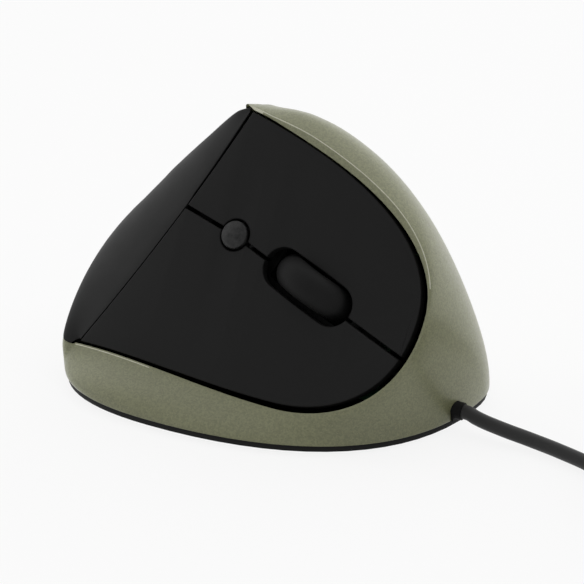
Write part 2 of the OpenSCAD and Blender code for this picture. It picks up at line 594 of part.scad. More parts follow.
function coil_pt(t) =
    let (span = layer_turns + 0.5, k = min(coil_layers - 1, floor(t / span)), f = t - k * span)
    let (in = min(f, layer_turns) * coil_pitch, climb = max(0, f - layer_turns) / 0.5)
    let (r = k % 2 == 0 ? coil_r - in : coil_r - layer_turns * coil_pitch + in, a = 360 * t - 90)
    [coil_at[0] + r * cos(a), coil_at[1] + r * sin(a), coil_z + (k + climb) * coil_rise];
coil_loops = [for (k = [0:coil_steps]) coil_pt(coil_turns * k / coil_steps)];
coil_from = coil_loops[0] - [cable_d, 0, 0];
coil_end = coil_loops[coil_steps] + [0, cable_d, 0];
coil_path = concat([coil_from], coil_loops, [coil_end]);
coil_far = [for (i = [0:coil_steps - 11]) for (j = [i + 13:coil_steps + 2])
    norm(coil_path[i] - coil_path[j])];
coil_gap = min(coil_far) - cable_d;
echo("least gap in the coil", coil_gap);
function path_len(p) = let (d = [for (i = [1:len(p) - 1]) norm(p[i] - p[i - 1])]) d * [for (x = d) 1];
cable_pts = [
    cable_from, cable_from + [1.8, 0, 0], cable_from + [3.6, 0, 0], cable_from + [10.4, -0.7, -0.6],
    cable_from + [18.4, -2.4, -1.6], [cable_from[0] + 27.4, cable_from[1] - 4.6, desk_z],
    [cable_from[0] + 37, cable_from[1] - 7.6, desk_z], [coil_from[0] - 16, coil_from[1] + 4, desk_z],
    [coil_from[0] - 8, coil_from[1] + 0.6, desk_z + 0.3], [coil_from[0] - 3.6, coil_from[1], coil_from[2]],
    [coil_from[0] - 1.8, coil_from[1], coil_from[2]], coil_from
];
cable_path = route(cable_pts, 3);
plug_z = 4;
plug_bend = 16;
plug_from = [coil_end[0] - plug_bend - 4, coil_at[1] + coil_r + cable_d / 2 + 8.6, plug_z];
tail_pts = [
    coil_end, coil_end + [0, 2.4, 0], coil_end + [0, 5.4, -0.2], coil_end + [-0.1, 9.6, -1.4],
    [coil_end[0] - 0.6, plug_from[1] - plug_bend, 11.4], [coil_end[0] - 3.6, plug_from[1] - 7, 8.2],
    [coil_end[0] - 9, plug_from[1] - 1.6, 5.6], [plug_from[0] + 3.6, plug_from[1], plug_z],
    [plug_from[0] + 1.8, plug_from[1], plug_z], plug_from
];
tail_path = route(tail_pts, 3);
echo("cable length", path_len(cable_path) + path_len(coil_path) + path_len(tail_path));
lead_z = main_z + main_t + socket_h / 2;
lead_end = socket_at[0] + socket_l / 2 + 0.1;
lead_pts = [
    gland_at - [5.5, 0, 0], gland_at - [7.4, 0, 0], gland_at + [-9.6, 0, 0.3],
    [gusset_x[1] + 6.2, mix(gland_at[1], lead_y, 0.5), 7.6], [gusset_x[1] + 1, lead_y, lead_z - 0.4],
    [lead_end + 3, socket_at[1], lead_z], [lead_end + 1.5, socket_at[1], lead_z],
    [lead_end, socket_at[1], lead_z]
];

module cable_grommet() color([0.06, 0.06, 0.06]) translate(gland_at) {
    translate([-4, 0, 0]) rotate([0, 90, 0]) cylinder(r = gland_r, h = 4 + gland_out);
    translate([-2.2, -gland_r, shell_z - gland_at[2]]) cube([2.2, 2 * gland_r, gland_at[2] - shell_z]);
    translate([-5.4, -3.6, shell_z - gland_at[2]]) cube([1.6, 7.2, gland_at[2] + 2.6 - shell_z]);
}
module inner_lead() color([0.1, 0.1, 0.1]) tube(route(lead_pts, 3), cable_d - 0.8, 8);
module cable() color([0.07, 0.07, 0.07]) tube(cable_path, cable_d, 8);
module cable_coil() color([0.07, 0.07, 0.07]) tube(coil_path, cable_d, 6);
module cable_tail() color([0.07, 0.07, 0.07]) tube(tail_path, cable_d, 8);
module cable_tie() color([0.05, 0.05, 0.05]) translate([coil_at[0], coil_at[1], 0]) rotate(200)
    let (low = coil_r - layer_turns * coil_pitch - cable_d / 2 - 0.5, high = coil_r + cable_d / 2 + 0.5)
    let (top = coil_z + (coil_layers - 1) * coil_rise + cable_d / 2 + 0.3)
    translate([(low + high) / 2, 2.5, (top + 0.05 + tie_t) / 2]) rotate([90, 0, 0]) linear_extrude(5)
        difference() {
            round_rect(high - low + 2 * tie_t, top + tie_t - 0.05, 2);
            round_rect(high - low, top - tie_t - 0.05, 1.2);
        }
module on_plug() translate(plug_from) rotate(180) children();
module plug_body() color([0.07, 0.07, 0.07]) on_plug() {
    rotate([0, 90, 0]) cylinder(d = 5.6, h = 10);
    for (k = [0:2]) translate([1.4 + 2.8 * k, 0, 0]) rotate([0, 90, 0]) cylinder(d = 6.6, h = 1.4);
    translate([9, 0, 0]) rotate([90, 0, 90]) linear_extrude(21) round_rect(15, 7.8, 2.4);
}
module plug_shell() color([0.75, 0.75, 0.76]) on_plug() difference() {
    translate([30, -6, -2.25]) cube([18.8, 12, 4.5]);
    translate([30.6, -5.7, -1.95]) cube([20, 11.4, 3.9]);
    for (s = [-1, 1]) translate([36, s * 2.7 - 1.1, 0]) cube([2.4, 2.2, 5]);
}
module plug_tongue() color([0.9, 0.9, 0.9]) on_plug() translate([30.6, -5.6, -1.9]) cube([17.6, 11.2, 1.8]);
module plug_contacts() color([0.85, 0.7, 0.3]) on_plug() for (k = [-1.5:1.5])
    translate([38, k * 2.3 - 0.5, -0.1]) cube([8.5, 1, 0.2]);

outer_shell();
palm_panel();
left_key();
right_key();
key_rod();
base_plate();
glide_feet();
housing_screws();
button_frame();
button_board();
left_switch();
right_switch();
left_plunger();
right_plunger();
wheel_tyre();
wheel_hub();
wheel_cradle();
wheel_encoder();
click_switch();
click_plunger();
dpi_button();
dpi_guide();
dpi_switch();
dpi_plunger();
forward_button();
back_button();
thumb_board();
thumb_switches();
forward_plunger();
back_plunger();
main_board();
board_screws();
sensor_lens();
sensor_chip();
sensor_led();
control_chip();
cable_socket();
cable_grommet();
inner_lead();
cable();
cable_coil();
cable_tie();
cable_tail();
plug_body();
plug_shell();
plug_tongue();
plug_contacts();
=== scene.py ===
# Looks of a right-hand vertical mouse: painted shell, soft black covers, wheel, buttons and coiled cable
import json
import math

import bpy
from mathutils import Matrix, Vector

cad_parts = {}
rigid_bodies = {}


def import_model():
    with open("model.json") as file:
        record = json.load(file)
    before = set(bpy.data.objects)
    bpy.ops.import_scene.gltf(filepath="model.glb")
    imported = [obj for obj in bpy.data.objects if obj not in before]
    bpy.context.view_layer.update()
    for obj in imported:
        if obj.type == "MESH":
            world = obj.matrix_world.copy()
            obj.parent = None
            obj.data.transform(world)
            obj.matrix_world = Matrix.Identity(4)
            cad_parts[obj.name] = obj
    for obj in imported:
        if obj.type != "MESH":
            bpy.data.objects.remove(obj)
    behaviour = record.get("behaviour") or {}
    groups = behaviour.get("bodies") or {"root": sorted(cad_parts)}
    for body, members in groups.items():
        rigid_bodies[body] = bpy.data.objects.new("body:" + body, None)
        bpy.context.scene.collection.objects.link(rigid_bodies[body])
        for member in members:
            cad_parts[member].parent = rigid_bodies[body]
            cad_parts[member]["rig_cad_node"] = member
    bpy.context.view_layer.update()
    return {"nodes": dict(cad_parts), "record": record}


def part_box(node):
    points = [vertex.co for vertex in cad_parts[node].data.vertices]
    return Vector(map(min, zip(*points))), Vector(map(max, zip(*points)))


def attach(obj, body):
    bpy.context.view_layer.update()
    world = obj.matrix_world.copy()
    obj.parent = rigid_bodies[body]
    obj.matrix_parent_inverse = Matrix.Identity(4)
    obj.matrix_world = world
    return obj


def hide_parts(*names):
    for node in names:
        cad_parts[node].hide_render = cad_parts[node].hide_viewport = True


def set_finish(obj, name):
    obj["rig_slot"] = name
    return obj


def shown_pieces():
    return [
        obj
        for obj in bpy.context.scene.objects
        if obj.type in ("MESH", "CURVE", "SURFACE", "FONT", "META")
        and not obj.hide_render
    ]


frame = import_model()
record = frame["record"]
MM = 0.001
SLOT_OF = {part["node"]: part["material_slot"] for part in record["subparts"]}
BODY_OF = {name: body for body, names in record["behaviour"]["bodies"].items() for name in names}
AXIS_OF = {joint["name"]: Vector(joint["axis"]) for joint in record["behaviour"]["joints"]}


# Camera at the photograph's angle: lengths in millimetres, angles in degrees, focus and width in pixels
VIEW_TURN = 30
VIEW_RISE = 25
VIEW_FAR = 520
VIEW_NEAR = 10
VIEW_TARGET = Vector((5.9, 0, 25))
VIEW_FOCUS = 2080
PHOTO_WIDE = 584
SENSOR = 36


def add_camera():
    turn, rise = math.radians(VIEW_TURN), math.radians(VIEW_RISE)
    back = Vector((math.sin(turn) * math.cos(rise), -math.cos(turn) * math.cos(rise), math.sin(rise)))
    bpy.ops.object.camera_add(location=(VIEW_TARGET + back * VIEW_FAR) * MM)
    camera = bpy.context.object
    camera.rotation_euler = (-back).to_track_quat("-Z", "Y").to_euler()
    camera.data.sensor_width = SENSOR
    camera.data.lens = VIEW_FOCUS * SENSOR / PHOTO_WIDE
    camera.data.clip_start = VIEW_NEAR * MM
    bpy.context.scene.camera = camera


# Modelling steps that several pieces share, with widths in millimetres and angles in degrees
MERGE = 0.002
FLAT = 0.4
SHARP = 32
SMOOTH_BELOW = 40
ROUND_STEPS = 3
CORNER_SHARE = 0.45


def activate(piece):
    bpy.ops.object.select_all(action="DESELECT")
    piece.select_set(True)
    bpy.context.view_layer.objects.active = piece


def edit(piece, kind):
    activate(piece)
    bpy.ops.object.mode_set(mode="EDIT")
    bpy.ops.mesh.select_mode(type=kind)


def end_edit():
    bpy.ops.object.mode_set(mode="OBJECT")


def modify(piece, kind, **values):
    """Adds a modifier with these values and applies it."""
    activate(piece)
    modifier = piece.modifiers.new(kind.lower(), kind)
    for key, value in values.items():
        setattr(modifier, key, value)
    bpy.ops.object.modifier_apply(modifier=modifier.name)


def smooth(piece, degrees):
    activate(piece)
    bpy.ops.object.shade_smooth_by_angle(angle=math.radians(degrees))


def new_piece(name, points, faces):
    """A mesh object from points in millimetres."""
    mesh = bpy.data.meshes.new(name)
    mesh.from_pydata([p * MM for p in points], [], faces)
    piece = bpy.data.objects.new(name, mesh)
    bpy.context.scene.collection.objects.link(piece)
    return piece


def face_outwards(piece):
    edit(piece, "FACE")
    bpy.ops.mesh.select_all(action="SELECT")
    bpy.ops.mesh.normals_make_consistent(inside=False)
    end_edit()


def copy_of(node, name):
    """A copy of a CAD node's mesh, with its loose triangles merged."""
    piece = bpy.data.objects.new(name, frame["nodes"][node].data.copy())
    bpy.context.scene.collection.objects.link(piece)
    piece.data.materials.clear()
    edit(piece, "VERT")
    bpy.ops.mesh.customdata_custom_splitnormals_clear()
    bpy.ops.mesh.select_all(action="SELECT")
    bpy.ops.mesh.remove_doubles(threshold=MERGE * MM)
    end_edit()
    return piece


def join_flats(piece):
    """Makes the flat faces of a merged copy whole again."""
    edit(piece, "EDGE")
    bpy.ops.mesh.select_all(action="SELECT")
    bpy.ops.mesh.dissolve_limited(angle_limit=math.radians(FLAT))
    end_edit()


def round_edges(piece, width):
    """Bevels every sharp edge by this width."""
    edit(piece, "EDGE")
    bpy.ops.mesh.select_all(action="DESELECT")
    bpy.ops.mesh.edges_select_sharp(sharpness=math.radians(SHARP))
    bpy.ops.mesh.bevel(offset=width * MM, segments=ROUND_STEPS, affect="EDGES", clamp_overlap=True)
    end_edit()


def stand_in(piece, *nodes):
    """The piece replaces these nodes, on their body and with their finish."""
    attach(piece, BODY_OF[nodes[0]])
    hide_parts(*nodes)
    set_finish(piece, SLOT_OF[nodes[0]])
    return piece


def rounded_copy(node, width):
    """The CAD node with its edges rounded, as moulding leaves them."""
    piece = copy_of(node, node + "_look")
    join_flats(piece)
    round_edges(piece, width)
    smooth(piece, SHARP)
    return stand_in(piece, node)


def middle(node):
    """The middle of a CAD node's box, in millimetres."""
    low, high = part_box(node)
    return (Vector(low) + Vector(high)) / (2 * MM)


def plane_frame(at, x, y, z):
    """The matrix that carries a piece modelled at the origin, in metres, to a place on the body."""
    turned = Matrix((x, y, z)).transposed().to_4x4()
    return Matrix.Translation(at * MM) @ turned


def mix(a, b, f):
    return a + (b - a) * f


def ease(x, a, b):
    """Rises softly from 0 at a to 1 at b."""
    f = min(1, max(0, (x - a) / (b - a)))
    return f * f * (3 - 2 * f)


def hump(x, a, b, c, d):
    """Rises softly from 0 to 1 between a and b, and falls back to 0 between c and d."""
    return ease(x, a, b) * (1 - ease(x, c, d))


def bezier(p, t):
    s = 1 - t
    return p[0] * s ** 3 + p[1] * (3 * t * s * s) + p[2] * (3 * t * t * s) + p[3] * t ** 3


def bezier_way(p, t):
    s = 1 - t
    return (p[1] - p[0]) * (s * s) + (p[2] - p[1]) * (2 * s * t) + (p[3] - p[2]) * (t * t)


# Finger face, in millimetres: it leans back from the desk and is crowned along X
APEX = Vector((-10.6, 8.75, 68))
FACE_TILT = math.radians(57.5)
FACE_LOW = 8.6
FACE_DEEP = 70.5
FACE_RISE = (APEX.z - FACE_LOW) / (FACE_DEEP * math.sin(FACE_TILT))
CROWN_R = 260
CROWN_U = 10
FACE_X = Vector((1, 0, 0))
FACE_V = Vector((0, math.cos(FACE_TILT), math.sin(FACE_TILT)))
FACE_N = Vector((0, -math.sin(FACE_TILT), math.cos(FACE_TILT)))
FACE_FRAME = plane_frame(APEX, FACE_X, FACE_V, FACE_N)
KEY_T = 2.4
FACE_EDGES = (
    ((-33, -67.5), (-13, -67), (7, -70.5), (27, -70.5)),
    ((27, -70.5), (46, -70.5), (58, -59), (58, -41)),
    ((58, -41), (58, -18), (26, -7), (0, 0)),
    ((0, 0), (-7.5, -20), (-19, -44), (-33, -67.5)),
)


def edge_curve(i):
    return [Vector((u, v * FACE_RISE)) for u, v in FACE_EDGES[i]]


def crown(u):
    return math.sqrt(CROWN_R ** 2 - (u - CROWN_U) ** 2) - CROWN_R


def face_point(p, w):
    """A place in the plane of the face, raised by w over the crowned surface."""
    return APEX + Vector((p.x, 0, 0)) + FACE_V * p.y + FACE_N * (crown(p.x) + w)


def on_face(at):
    return FACE_FRAME @ Matrix.Translation(at * MM)


def rim_edge(g):
    """A place on the face's edge: along the front to g = 1, the nose to 2, the crest to 3, the ridge to 4."""
    i = min(3, int(g))
    return bezier(edge_curve(i), g - i)


def rim_out(g):
    """The way straight out of the face at its edge, in its plane."""
    i = min(3, int(g))
    way = bezier_way(edge_curve(i), g - i)
    return Vector((way.y, -way.x)).normalized()


# Curves of the shell: g runs along the face's edge to 3 at the apex, then down the palm's seam to 5
BASE_EXTREMES = ((-50, -8.5), (-13, -39.5), (54.1, 11.4), (-6, 39.5))
BASE_FULLNESS = ((0.7, 0.65), (0.63, 0.65), (0.6, 0.6), (0.6, 0.6))
AXIS = Vector((-1, 0, 0))
WALL = 2.2
SKIRT_Z = 2.3
RIM_FOOT = 0.5
RIM_W = 1.2
RIM_H = 0.9
RIM_SPAN = (1.95, 2.45, 2.75, 3)
THUMB_CORNER = Vector((-35, 27, 13))
SEAM_UPPER = (Vector((-19, 8, 0.978 * APEX.z)), Vector((-21, 37, 0.42 * APEX.z)))
SEAM_LOWER = (Vector((-46, 17, 6)), Vector((-56.4, -30, 11)))
INNER_LEAN = 0.6
INNER_LEAN_OVER = 10
ROLL_LEAN = 0.3
ROLL_TURNS = (3, 3.6)
CREST_SWELL = 16.4
CREST_SPAN = (2.05, 3.44)
# Each station: place on the base, lean, rise, roll at the rim, turn of the roll off the face
STATIONS = (
    (0.4, -0.46, 0.35, 3, 0.2),
    (1.28, 0.75, 0.3, 3.5, 0.3),
    (2, 0, 0.32, 1.4, -1),
    (3, 0.28, 0.37, 8.3, -0.9),
    (3.3, 0.1, 0.35, 4.2, -0.6),
    (4.4, -0.46, 0.35, 3, 0.2),
)
SPANS = len(STATIONS) - 1
# Just short of the apex, and still on the face's edge
TOP = 2.9999


def rim_share(g):
    """How much of the bevelled rim stands beside the keys: all of it along the crest, and none elsewhere."""
    return hump(g, *RIM_SPAN)


def rim_crest(g):
    share = rim_share(g)
    return face_point(rim_edge(g) + rim_out(g) * (RIM_FOOT + RIM_W * share), RIM_H * share)


def base_point(tau):
    """A place on the outline of the base. tau counts the four extremes passed."""
    i = int(tau) % 4
    a, b = Vector(BASE_EXTREMES[i]), Vector(BASE_EXTREMES[(i + 1) % 4])
    f, h = BASE_FULLNESS[i]
    if i % 2 == 0:
        curve = [a, Vector((a.x, mix(a.y, b.y, f))), Vector((mix(b.x, a.x, h), b.y)), b]
    else:
        curve = [a, Vector((mix(a.x, b.x, f), a.y)), Vector((b.x, mix(b.y, a.y, h))), b]
    return bezier(curve, tau - int(tau))


def knot(i, k):
    """One value of a station. The last station is the first one after a whole turn of the base."""
    turn = len(BASE_EXTREMES) if k == 0 else 0
    if i < 0:
        return STATIONS[i + SPANS][k] - turn
    return STATIONS[i - SPANS][k] + turn if i > SPANS else STATIONS[i][k]


def station(g, k):
    """A value between two stations, on a smooth curve through them all."""
    i = min(SPANS - 1, int(g))
    f, a, b = g - i, knot(i, k), knot(i + 1, k)
    leaving, reaching = (b - knot(i - 1, k)) / 2, (knot(i + 2, k) - a) / 2
    return mix(a, b, f * f * (3 - 2 * f)) + leaving * f * (1 - f) ** 2 - reaching * f * f * (1 - f)


def seam_point(f):
    """The seam between shell and palm panel, from the apex round the thumb corner to the low palm corner."""
    if f < 0.5:
        return bezier([rim_crest(TOP), *SEAM_UPPER, THUMB_CORNER], f * 2)
    return bezier([THUMB_CORNER, *SEAM_LOWER, rim_crest(0)], f * 2 - 1)


def crest(g):
    """The upper edge of the shell."""
    return rim_crest(g) if g < 3 else seam_point((g - 3) / 2)


def flat_in(p):
    return (Vector((AXIS.x - p.x, AXIS.y - p.y, 0))).normalized()


def inward(p):
    """The way into the wall: level at the skirt, and leaning down over it."""
    lean = INNER_LEAN * ease(p.z, SKIRT_Z, SKIRT_Z + INNER_LEAN_OVER)
    return (flat_in(p) - Vector((0, 0, lean))).normalized()


def roll_off_face(g):
    out = rim_out(g)
    return (Vector((out.x, 0, 0)) + FACE_V * out.y + FACE_N * station(g, 4)).normalized()


def roll_way(g):
    """The way in which the outer curve leaves the upper edge."""
    if g < 3:
        return roll_off_face(g)
    h = flat_in(crest(g))
    down = Vector((-ROLL_LEAN * h.x, -ROLL_LEAN * h.y, -1)).normalized()
    return mix(roll_off_face(TOP), down, ease(g, *ROLL_TURNS)).normalized()


def meridian(g):
    """The outer curve of the shell at one place round the body, from the skirt up to the crest."""
    base = base_point(station(g, 0))
    low, high = Vector((base.x, base.y, SKIRT_Z)), crest(g)
    rise = (flat_in(low) * station(g, 1) + Vector((0, 0, 1))).normalized()
    roll = station(g, 3) + CREST_SWELL * math.sin(math.pi * ease(g, *CREST_SPAN))
    return [low, low + rise * ((high - low).length * station(g, 2)), high + roll_way(g) * roll, high]


def corner(before, at, after, r, steps=3):
    """A small round in place of a corner."""
    a = at + (before - at).normalized() * min(r, (before - at).length * CORNER_SHARE)
    b = at + (after - at).normalized() * min(r, (after - at).length * CORNER_SHARE)
    spots = [k / steps for k in range(steps + 1)]
    return [a * (1 - t) ** 2 + at * (2 * t * (1 - t)) + b * t * t for t in spots]


def skin(name, sections, ring):
    """A closed skin of quads through sections of equal counts, joined up as a ring or capped at both ends."""
    n, m = len(sections), len(sections[0])
    faces = []
    for i in range(n if ring else n - 1):
        up = (i + 1) % n * m
        faces += [(i * m + j, i * m + (j + 1) % m, up + (j + 1) % m, up + j) for j in range(m)]
    if not ring:
        for at in (0, (n - 1) * m):
            faces += [(at + k, at + k + 1, at + m - 2 - k, at + m - 1 - k) for k in range(m // 2 - 1)]
    piece = new_piece(name, [p for section in sections for p in section], faces)
    face_outwards(piece)
    return piece


# Shell: sections round the body, with slots for the thumb buttons and an arch for the cable
SPAN_STEPS = 44
SHELL_ROWS = 40
SHELL_IN_ROWS = 12
INNER_REACH = 0.84
RIDGE_FULL = 0.8
RIDGE_SPAN = (2.35, 2.65, 2.85, 2.96)
APEX_FLAT = 0.9
FLAT_SPAN = (2.91, 3.01, 3.02, 3.25)
TIP_LIFT = 0.4
TIP_SPAN = (2.93, 2.99, 3.1, 3.4)
CREST_BAND = (0, 0.08, 0.1, 0.38)
APEX_REACH = 1.6
REACH_SPAN = (2.94, 3, 3, 3.12)
SEAM_TURNS = (3, 3.5, 4.7, 5)
GAP_TRIM = 0.3
LIP_BACK = 0.35
LIP_UNDER = 0.2
SEAM_EDGE = (0.2, 0.6)
FOOT_ROUND = 0.3
EDGE_ROUND = 0.22
# Rows and places round the body of the faces with the lighter paint: a painted highlight line along the rim,
# and painted light on the shaded apex faces
HIGHLIGHT_LINE_ROWS = (42, 43)
HIGHLIGHT_LINE_FRONT = 0.4
HIGHLIGHT_LINE_CREST = (2.1, 3)
APEX_PAINTED_LIGHT_ROWS = range(42, 48)
APEX_PAINTED_LIGHT_SPAN = (2.95, 3.13)
THUMB_X = (middle("forward_plunger") - middle("back_plunger")).normalized()
THUMB_Z = -AXIS_OF["forward_press"]
THUMB_Y = THUMB_Z.cross(THUMB_X)
THUMB_LEN = 18
THUMB_H = 6.6
BUTTON_GAP = 0.16
SLOT_UNDER = 3.05
GLAND = Vector((52.8575, -0.7234, 4.5))
GLAND_R = 2.3
ARCH_DROP = 3
CUT_DEEP = 16


def crest_trim(g, t):
    """The crest's last millimetre: fuller along the ridge, and drawn flat into a thin tip at the apex."""
    full = RIDGE_FULL * hump(g, *RIDGE_SPAN) - APEX_FLAT * hump(g, *FLAT_SPAN)
    lift = TIP_LIFT * hump(g, *TIP_SPAN) * ease(t, 0.94, 1)
    return Vector((0, 0, full * hump(1 - t, *CREST_BAND) + lift))


def apex_reach(g, t):
    """How far the crest's edge reaches past the apex, over the corner of the palm panel."""
    return Vector((-APEX_REACH, 0, 0)) * (hump(g, *REACH_SPAN) * ease(t, 0.9, 1))


def seam_in(g):
    """The way into the seam between shell and palm panel."""
    return mix(-FACE_N, inward(crest(g)), hump(g, *SEAM_TURNS)).normalized()


def shell_section(g):
    """One closed section: up the outer side, over the rim or the seam's edge, and down the inner side."""
    curve = meridian(g)
    spots = [k / SHELL_ROWS for k in range(SHELL_ROWS + 1)]
    outer = [bezier(curve, t) + crest_trim(g, t) + apex_reach(g, t) for t in spots]
    inner = [bezier(curve, INNER_REACH * k / SHELL_IN_ROWS) for k in range(SHELL_IN_ROWS, 0, -1)]
    inner = [p + inward(p) * WALL for p in inner]
    foot = outer[0] + flat_in(outer[0]) * WALL
    if g < 3:
        trim = GAP_TRIM * rim_share(g)
        tip = face_point(rim_edge(g) - rim_out(g) * trim, 0) + apex_reach(g, 1)
        lip = face_point(rim_edge(g) + rim_out(g) * (LIP_BACK - trim), -KEY_T - LIP_UNDER)
    else:
        tip = outer[-1] + seam_in(g) * mix(*SEAM_EDGE, ease(g, *REACH_SPAN[2:]))
        lip = crest(g) + seam_in(g) * WALL
    edge = min(EDGE_ROUND, (tip - outer[-1]).length / 3)
    return (
        corner(foot, outer[0], outer[2], FOOT_ROUND)
        + outer[2:-2]
        + corner(outer[-3], outer[-1], tip, edge)
        + corner(outer[-1], tip, lip, edge)
        + [lip] + inner + [foot]
    )


def bar(name, long, wide, deep, corners=24):
    """A bar with round ends along X, standing on Z, made from a disc that is pulled apart and extruded."""
    bpy.ops.object.select_all(action="DESELECT")
    bpy.ops.mesh.primitive_circle_add(vertices=2 * corners, radius=wide / 2 * MM, fill_type="NGON")
    piece = bpy.context.object
    piece.name = name
    for v in piece.data.vertices:
        v.co.x += math.copysign((long - wide) / 2 * MM, v.co.x)
    edit(piece, "FACE")
    bpy.ops.mesh.select_all(action="SELECT")
    bpy.ops.mesh.extrude_region_move(TRANSFORM_OT_translate={"value": (0, 0, deep * MM)})
    bpy.ops.mesh.select_all(action="SELECT")
    bpy.ops.mesh.normals_make_consistent(inside=False)
    end_edit()
    return piece


def cut_with(piece, cutter):
    modify(piece, "BOOLEAN", operation="DIFFERENCE", object=cutter, solver="EXACT")
    bpy.data.objects.remove(cutter)


def number_painted_highlight_faces(shell, wide):
    """Numbers the faces that get a lighter paint: a painted highlight line along the rim, and painted light
    on the apex faces that lie in shade. Each section has this many faces.
    """
    for polygon in shell.data.polygons:
        at, row = divmod(polygon.index, wide)
        g = at / SPAN_STEPS
        highlight_line = row in HIGHLIGHT_LINE_ROWS and (g < HIGHLIGHT_LINE_FRONT or HIGHLIGHT_LINE_CREST[0] < g < HIGHLIGHT_LINE_CREST[1])
        apex_painted_light = row in APEX_PAINTED_LIGHT_ROWS and APEX_PAINTED_LIGHT_SPAN[0] < g < APEX_PAINTED_LIGHT_SPAN[1]
        polygon.material_index = int(highlight_line or apex_painted_light)


def make_shell():
    sections = [shell_section(k / SPAN_STEPS) for k in range(SPANS * SPAN_STEPS)]
    shell = skin("shell_look", sections, True)
    number_painted_highlight_faces(shell, len(sections[0]))
    for plunger in ("back_plunger", "forward_plunger"):
        slot = bar("thumb_cut", THUMB_LEN + 2 * BUTTON_GAP, THUMB_H + 2 * BUTTON_GAP, CUT_DEEP)
        slot_at = middle(plunger) - THUMB_Z * SLOT_UNDER
        slot.data.transform(plane_frame(slot_at, THUMB_X, THUMB_Y, THUMB_Z))
        cut_with(shell, slot)
    arch = bar("cable_cut", 2 * (2 * GLAND_R + ARCH_DROP), 2 * GLAND_R, CUT_DEEP)
    arch_at = GLAND - Vector((CUT_DEEP / 2, 0, GLAND_R + ARCH_DROP))
    arch.data.transform(plane_frame(arch_at, Vector((0, 0, 1)), Vector((0, 1, 0)), Vector((1, 0, 0))))
    face_outwards(arch)
    cut_with(shell, arch)
    smooth(shell, SMOOTH_BELOW)
    return stand_in(shell, "outer_shell")


# Palm panel: q runs from the apex down the ridge, and r across the panel from the ridge to the seam
PALM_LEAN = Vector((-0.8, 0.5, 0.11)).normalized()
PALM_BACK = 43.6
PALM_SIDE_WAY = Vector((-1, 0.05, 0))
PALM_SIDE = 23
PALM_DROOP = 1.22
PALM_ROWS = 40
PALM_SECTIONS = 90
PALM_ENDS = (0.015, 0.98)
PALM_ROUND = 0.3
CORE_BACK = 0.08
CORE_SHARE = 0.6
TOP_FULL = 0.5
TOP_SPAN = (0.03, 0.07, 0.08, 0.22)
SEAM = 0.2
SEAM_SHARE = 0.2
RIDGE_CLOSE = 0.48
KEY_SPLIT = (0.36, 0.42)


def ridge_point(q):
    """The panel's edge along the keys: the gap narrows from the apex to a hairline past their split."""
    close = RIDGE_CLOSE * (0.5 * ease(q, 0.05, KEY_SPLIT[0]) + 0.5 * ease(q, *KEY_SPLIT))
    return face_point(rim_edge(3 + q) - rim_out(3 + q) * close, 0)


def palm_point(q, r):
    swell = math.sin(math.pi * q ** PALM_DROOP)
    a, b = ridge_point(q), seam_point(q)
    back = a + PALM_LEAN * (PALM_BACK * swell)
    side = b + PALM_SIDE_WAY * (PALM_SIDE * swell * (1 - q))
    full = TOP_FULL * hump(q, *TOP_SPAN) * ease(r, 0, 0.6)
    return bezier([a, back, side, b], r) + Vector((0, 0, full))


def palm_inner(q, r):
    """The inner side: a wall's thickness towards a core line that runs from ridge to seam."""
    a, b = ridge_point(q), seam_point(q)
    deep = min(WALL, (b - a).length / 4)
    p = palm_point(q, r)
    way = mix(a - FACE_N * deep, mix(b, a, CORE_BACK) + seam_in(3 + 2 * q) * (deep / 2), r) - p
    return p + way.normalized() * min(WALL, CORE_SHARE * way.length)


def palm_section(q):
    long = (seam_point(q) - ridge_point(q)).length
    share = 1 - min(SEAM_SHARE, SEAM / long)
    spots = [share * k / PALM_ROWS for k in range(PALM_ROWS + 1)]
    outer = [palm_point(q, r) for r in spots]
    inner = [palm_inner(q, r) for r in reversed(spots)]
    first = corner(inner[-1], outer[0], outer[1], PALM_ROUND)
    last = corner(outer[-2], outer[-1], inner[0], PALM_ROUND)
    return first + outer[1:-1] + last + inner


def make_palm():
    steps = [mix(*PALM_ENDS, k / PALM_SECTIONS) for k in range(PALM_SECTIONS + 1)]
    palm = skin("palm_look", [palm_section(q) for q in steps], False)
    smooth(palm, SMOOTH_BELOW)
    return stand_in(palm, "palm_panel")


# Keys: laid flat in the plane of the face, rounded, sliced into strips and bent back over the crown
KEY_ROUND = 0.4
KEY_ROUND_STEPS = 4
KEY_STRIP = 3
KEY_TOP_WITHIN = 0.05
KEY_TOP_UP = 0.9
KEY_SHADED_WALL_UP = 0.3
KEY_SMOOTH_BELOW = 35


def make_key(node):
    key = copy_of(node, node + "_look")
    key.data.transform(FACE_FRAME.inverted())
    for v in key.data.vertices:
        v.co.z -= crown(v.co.x / MM) * MM
    join_flats(key)
    edit(key, "FACE")
    bpy.ops.mesh.select_all(action="DESELECT")
    end_edit()
    for polygon in key.data.polygons:
        polygon.select = polygon.center.z > -KEY_TOP_WITHIN * MM and polygon.normal.z > KEY_TOP_UP
    edit(key, "FACE")
    bpy.ops.mesh.region_to_loop()
    bpy.ops.mesh.bevel(
        offset=KEY_ROUND * MM, segments=KEY_ROUND_STEPS, affect="EDGES", clamp_overlap=False
    )
    low, high = key.bound_box[0][0], key.bound_box[6][0]
    for k in range(1, int((high - low) / (KEY_STRIP * MM)) + 1):
        bpy.ops.mesh.select_all(action="SELECT")
        bpy.ops.mesh.bisect(plane_co=(low + k * KEY_STRIP * MM, 0, 0), plane_no=(1, 0, 0))
    end_edit()
    for v in key.data.vertices:
        v.co.z += crown(v.co.x / MM) * MM
    key.data.transform(FACE_FRAME)
    smooth(key, KEY_SMOOTH_BELOW)
    # Side walls get the second finish, darker and duller: painted shade in the gaps round the keys
    for polygon in key.data.polygons:
        polygon.material_index = int(abs(polygon.normal.dot(FACE_N)) < KEY_SHADED_WALL_UP)
    return stand_in(key, node)


